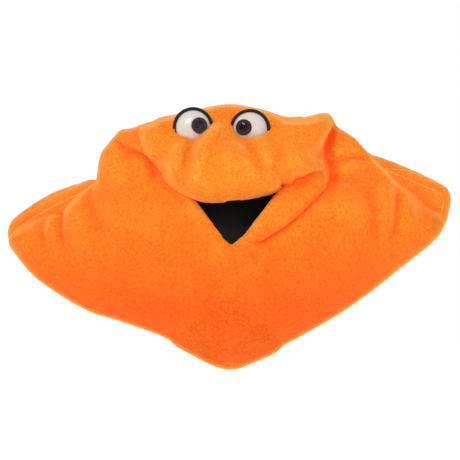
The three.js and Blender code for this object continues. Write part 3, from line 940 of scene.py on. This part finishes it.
def grow_pile(obj):
    """Short fibres on the outside of a plush piece, for the picture only."""
    outside = obj.vertex_groups.new(name="outside")
    count = len(obj.data.vertices) // 2
    points = np.array([v.co for v in obj.data.vertices[:count]]) / MM
    at_edge = {i for face in obj.data.polygons if not face.use_smooth for i in face.vertices}
    for i in np.nonzero(mouth_gap(points) > BARE_LIP)[0]:
        if int(i) not in at_edge:
            outside.add([int(i)], 1.0, "REPLACE")
    obj.data.materials.append(PILE)
    area = sum(face.area for face in obj.data.polygons) / 2
    system = obj.modifiers.new("pile", "PARTICLE_SYSTEM").particle_system
    system.seed = len(obj.name)
    system.vertex_group_density = "outside"
    fibres = system.settings
    fibres.type = "HAIR"
    fibres.count = int(PILE_DENSITY * area)
    fibres.hair_length = PILE_LENGTH * MM
    fibres.hair_step = 2
    fibres.render_step = 2
    fibres.factor_random = 0.3 * PILE_LENGTH * MM
    fibres.root_radius = 1.0
    fibres.tip_radius = 0.3
    fibres.radius_scale = 0.15 * MM
    fibres.material = len(obj.data.materials)


PLUSH_PIECES = ("plush_upper", "plush_lower", "plush_back")

for plush_name in PLUSH_PIECES:
    grow_pile(SKINS[plush_name])
for level in ("upper", "lower"):
    for cloth in ("plush", "mouth"):
        bend_with(SKINS[f"{cloth}_{level}"])
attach(SKINS["plush_back"], "pillow")
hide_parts("head_panel", "crown_panel")
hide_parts("lower_front_panel", "lower_lip_panel")
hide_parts("back_panel")
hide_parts("upper_mouth_lining")
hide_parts("lower_mouth_lining")

# ---- Stuffing under the skin ---------------------------------------------------------------------


def box_room(node, more):
    """The box round a node, larger by more on each side."""
    low, high = box_mm(node)
    middle, half = (low + high) / 2, (high - low) / 2
    gaps = [np.abs(axis - middle[i]) - half[i] - more for i, axis in enumerate((X, Y, Z))]
    return np.maximum.reduce(gaps)


def hand_room():
    """The sleeve, the palm's room and the pockets for the fingers, which the stuffing leaves free."""
    sleeve = np.maximum(np.hypot(X, Y - SLEEVE_Y) - SLEEVE_RADIUS - 2, Z - SLEEVE_HIGH[2] - 8)
    rooms = [sleeve] + [box_room(node, 2) for node in ("palm_lining", "finger_pocket", "thumb_pocket")]
    return np.minimum.reduce(rooms)


def cheek_room():
    """Behind the corners of the mouth, where an open mouth would show the stuffing."""
    return np.minimum(ball((64, -45, 218), (34, 44, 30)), ball((-62, -45, 218), (34, 44, 30)))


def jaw_room():
    """Where the lower jaw, opening, pushes the plush back into the belly."""
    return ball((0, -80, 158), (124, 76, 98))


STUFFING_DEPTH = 11  # from the outside of the plush
ROOM = hand_room()


def stuffing(name, field, limit):
    """Fibre filling the inside of a form, wherever limit is under zero."""
    solid = Skin(np.maximum(np.maximum(field + STUFFING_DEPTH, -ROOM), limit))
    solid.relax(1)
    obj = new_object(name, solid.points * MM, solid.quads)
    obj.data.materials.append(FIBRE)
    return obj


STUFFING_UPPER = stuffing("stuffing_upper", UPPER, np.maximum(HINGE_Z + 8 - Z, -cheek_room()))
STUFFING_LOWER = stuffing("stuffing_lower", LOWER, np.maximum(Z - HINGE_Z + 2, -jaw_room()))
bend_with(STUFFING_UPPER)
bend_with(STUFFING_LOWER)
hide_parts("snout_filling", "crown_filling")
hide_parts("belly_filling", "chin_filling", "left_wing_filling", "right_wing_filling")

# ---- The arm opening -----------------------------------------------------------------------------

LINING_CLOTH = 1.2  # thickness of the cotton, in millimetres
PALM_LOW, PALM_HIGH = box_mm("palm_lining")


def rounded_box(low, high, radius):
    """A box with rounded edges, as a distance."""
    middle, half = (low + high) / 2, (high - low) / 2
    reach = [np.abs(axis - middle[i]) - half[i] + radius for i, axis in enumerate((X, Y, Z))]
    outside = np.sqrt(sum(np.maximum(r, 0) ** 2 for r in reach))
    return outside + np.minimum(np.maximum.reduce(reach), 0) - radius


def arm_lining():
    """The sleeve and the bag round the palm, in one wrinkled cloth, open below and towards the fingers."""
    sleeve = np.maximum(np.hypot(X, Y - SLEEVE_Y) - SLEEVE_RADIUS + 1.5, Z - SLEEVE_HIGH[2] - 6)
    bag = rounded_box(PALM_LOW, PALM_HIGH, 16)
    across = np.sin(Z / 4.5 + 1.4 * np.sin(X / 11) + 0.8 * np.sin(Y / 9))
    slant = np.sin((X + 1.6 * Z) / 7 + Y / 13)
    skin = Skin(union(sleeve, bag, 8) + 0.6 * across + 0.7 * slant)
    skin.relax(1)
    skin = skin.crop(lambda p: np.minimum(p[:, 2] - SLEEVE_LOW[2] + 2, p[:, 1] - PALM_LOW[1] - 3))
    return cloth_piece("arm_lining", skin, LINING_CLOTH, LINING)


def fingers_pocket():
    """A soft pocket for the fingers, on the upper palate, open towards the wrist."""
    low, high = box_mm("finger_pocket")
    wrinkles = 0.5 * np.sin(X / 5 + 1.2 * np.sin(Y / 9)) + 0.5 * np.sin(Y / 6 + Z / 8)
    skin = Skin(rounded_box(low, high, 9) + 1.5 + wrinkles)
    skin.relax(1)
    return cloth_piece("fingers_pocket", skin.crop(lambda p: high[1] - 4 - p[:, 1]), LINING_CLOTH, LINING)


def gathered_cuff():
    """A rolled hem, gathered on to the sleeve, with a row of stitches round its middle."""
    low, high = box_mm("cuff_hem")
    middle_z = (low[2] + high[2]) / 2
    inner = SLEEVE_RADIUS - LINING_CLOTH - 0.5
    outer = (high[0] - low[0]) / 2
    around, section = 240, 24
    points = []
    for i in range(around):
        turn = 2 * math.pi * i / around
        gather = math.sin(40 * turn + 0.9 * math.sin(7 * turn))
        for j in range(section):
            angle = 2 * math.pi * j / section
            out, up = math.cos(angle), math.sin(angle)
            square = (abs(out) ** 3 + abs(up) ** 3) ** (-1 / 3)
            waist = 1 - 0.25 * math.exp(-((up / 0.25) ** 2)) * (out > 0)
            r = (inner + outer) / 2 + (outer - inner) / 2 * out * square * waist + 0.5 * gather * (out > 0)
            z = middle_z + (high[2] - low[2]) / 2 * up * square + 0.5 * math.sin(3 * turn)
            points.append((r * math.cos(turn) * MM, (SLEEVE_Y + r * math.sin(turn)) * MM, z * MM))
    quads = []
    for i in range(around):
        for j in range(section):
            a, b = i * section, (i + 1) % around * section
            k = (j + 1) % section
            quads.append((a + j, b + j, b + k, a + k))
    obj = new_object("cuff", points, quads)
    obj.data.materials.append(WEBBING)
    return obj


SEWN_IN = (
    (arm_lining(), "pillow", "lining", ("arm_sleeve", "palm_lining")),
    (gathered_cuff(), "pillow", "webbing", ("cuff_hem",)),
    (fingers_pocket(), "upper_jaw", "lining", ("finger_pocket",)),
)
for sewn_in, body, slot_name, replaced in SEWN_IN:
    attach(sewn_in, body)
    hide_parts(*replaced)

# ---- Nodes that keep their own shape -------------------------------------------------------------

NODE_MATERIALS = {
    "webbing": TAPE,  # only the hinge tape, since the cuff has a piece of its own
    "lining": LINING,
    "filling": FIBRE,
    "palate_board": BOARD,
    "eye_white": EYE_WHITE,
    "eye_lid": EYE_LID,
    "iris": IRIS,
    "pupil": PUPIL,
    "lens": LENS,
    "washer": NYLON,
    "plush": PLUSH,
    "mouth_felt": MOUTH_FELT,
}
for row in frame["record"]["subparts"]:  # the nodes replaced above are hidden
    node = frame["nodes"][row["node"]]
    if node.hide_render:
        continue
    node.data.materials.clear()
    node.data.materials.append(NODE_MATERIALS[row["material_slot"]])

# ---- Floor, light and camera ---------------------------------------------------------------------


def make_stage():
    """A wide pale floor, far enough below the puppet to take no sharp shadow."""
    below = -0.45
    corners = [(-6, -4, below), (6, -4, below), (6, 5, below), (-6, 5, below)]
    floor = new_object("floor", corners, [(0, 1, 2, 3)], smooth=False)
    s = Shader("pale_floor")
    s.set(Base_Color=(0.95, 0.95, 0.95, 1), Roughness=0.9, Emission_Color=(1, 1, 1, 1), Emission_Strength=0.5)
    floor.data.materials.append(s.material)


def area_light(name, place, target, size, power):
    data = bpy.data.lights.new(name, "AREA")
    data.size = size
    data.energy = power
    obj = bpy.data.objects.new(name, data)
    bpy.context.scene.collection.objects.link(obj)
    obj.location = place
    obj.rotation_euler = (Vector(target) - Vector(place)).to_track_quat("-Z", "Y").to_euler()


def make_light():
    """A white world, dimmer for the light it gives and dimmer still in reflections, and three soft lamps."""
    world = bpy.data.worlds.new("studio")
    bpy.context.scene.world = world
    world.use_nodes = True
    tree = world.node_tree
    background = tree.nodes["Background"]
    background.inputs["Color"].default_value = (1, 1, 1, 1)
    ray = tree.nodes.new("ShaderNodeLightPath")
    strength = tree.nodes.new("ShaderNodeMapRange")
    strength.inputs["To Min"].default_value = 0.8
    strength.inputs["To Max"].default_value = 1.0
    dim = tree.nodes.new("ShaderNodeMapRange")
    dim.inputs["To Min"].default_value = 1.0
    dim.inputs["To Max"].default_value = 0.2
    both = tree.nodes.new("ShaderNodeMath")
    both.operation = "MULTIPLY"
    tree.links.new(ray.outputs["Is Camera Ray"], strength.inputs["Value"])
    tree.links.new(ray.outputs["Is Glossy Ray"], dim.inputs["Value"])
    tree.links.new(strength.outputs["Result"], both.inputs[0])
    tree.links.new(dim.outputs["Result"], both.inputs[1])
    tree.links.new(both.outputs["Value"], background.inputs["Strength"])
    centre = (0, 0, 0.15)
    area_light("key", (-0.8, -1.5, 1.7), centre, 0.7, 25)
    area_light("fill", (1.3, -1.6, 0.6), centre, 1.0, 7)
    area_light("rim", (-0.3, 1.6, 1.1), centre, 1.2, 9)


def make_camera():
    """A long lens straight ahead of the face, a little above it."""
    view_span = 0.506  # width seen at the wings' distance
    distance = 3.0
    elevation = math.radians(3)
    target = Vector((0.001, 0.01, 0.152))
    data = bpy.data.cameras.new("camera")
    data.sensor_width = 36
    data.lens = 36 * distance / view_span
    obj = bpy.data.objects.new("camera", data)
    bpy.context.scene.collection.objects.link(obj)
    away = Vector((0, -math.cos(elevation), math.sin(elevation)))
    obj.location = target + away * distance
    obj.rotation_euler = (-away).to_track_quat("-Z", "Y").to_euler()
    bpy.context.scene.camera = obj


make_stage()
make_light()
make_camera()
bpy.context.scene.view_settings.view_transform = "Standard"
